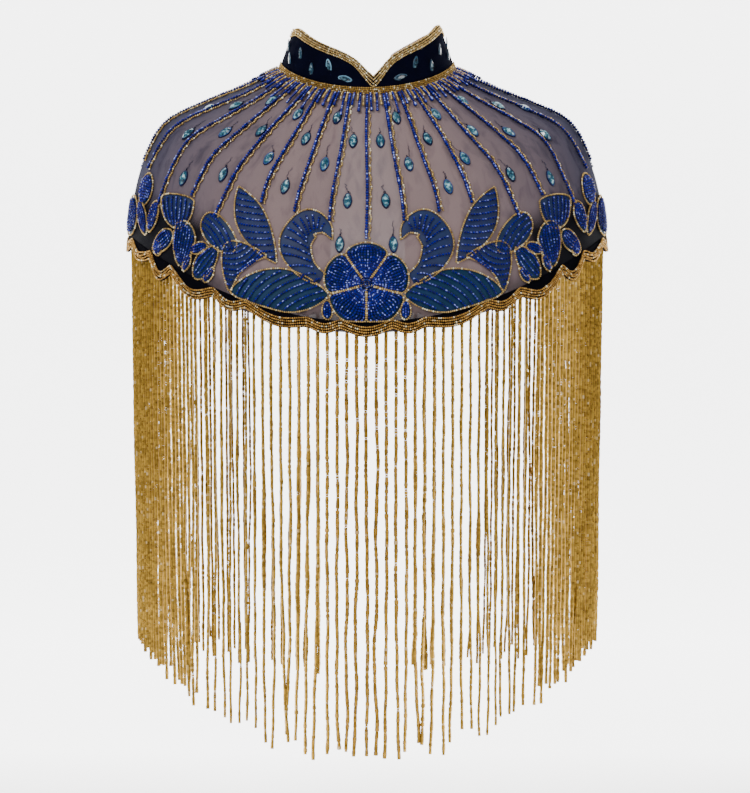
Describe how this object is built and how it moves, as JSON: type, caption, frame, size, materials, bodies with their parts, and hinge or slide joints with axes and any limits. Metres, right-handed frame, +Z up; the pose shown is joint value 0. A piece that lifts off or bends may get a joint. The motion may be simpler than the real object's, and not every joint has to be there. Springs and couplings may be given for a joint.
{
  "type": "beaded fringe cape",
  "caption": "Short stage cape of sheer net with beaded leaves and bead lines, a low stand collar, a scalloped hem and a long gold bead fringe.",
  "frame": {"origin": "centre of the neck ring at the height of the collar seam at the sides, where the wearer's neck and shoulders hold the cape", "axes": "+Z up, +X to the left of the wearer, who faces -Y, so the opening at centre back is on +Y"},
  "size_m": [0.4294, 0.2727, 0.6324],
  "materials": {
    "net": "fine mauve-grey silk net with beaded blue and teal leaves and crystals",
    "hem_velvet": "black velvet edge with rows of small gold beads",
    "collar_velvet": "navy black velvet with teal crystals",
    "lining": "thin tan silk lining",
    "gold_beads": "small glass beads with an opaque metallic gold surface, strung close",
    "drop_beads": "short drops of royal blue and gold glass beads",
    "steel": "dull nickel wire"
  },
  "bodies": {
    "root": {"yoke_front": "net", "yoke_back_left": "net", "yoke_back_right": "net", "hem_front": "hem_velvet", "hem_back_left": "hem_velvet", "hem_back_right": "hem_velvet", "collar_left": "collar_velvet", "collar_right": "collar_velvet", "collar_lining_left": "lining", "collar_lining_right": "lining", "collar_edge_left": "gold_beads", "collar_edge_right": "gold_beads", "collar_band": "gold_beads", "fringe_front": "gold_beads", "fringe_back_left": "gold_beads", "fringe_back_right": "gold_beads", "drops_front": "drop_beads", "drops_back_left": "drop_beads", "drops_back_right": "drop_beads", "hook": "steel", "eye": "steel"}
  },
  "joints": []
}
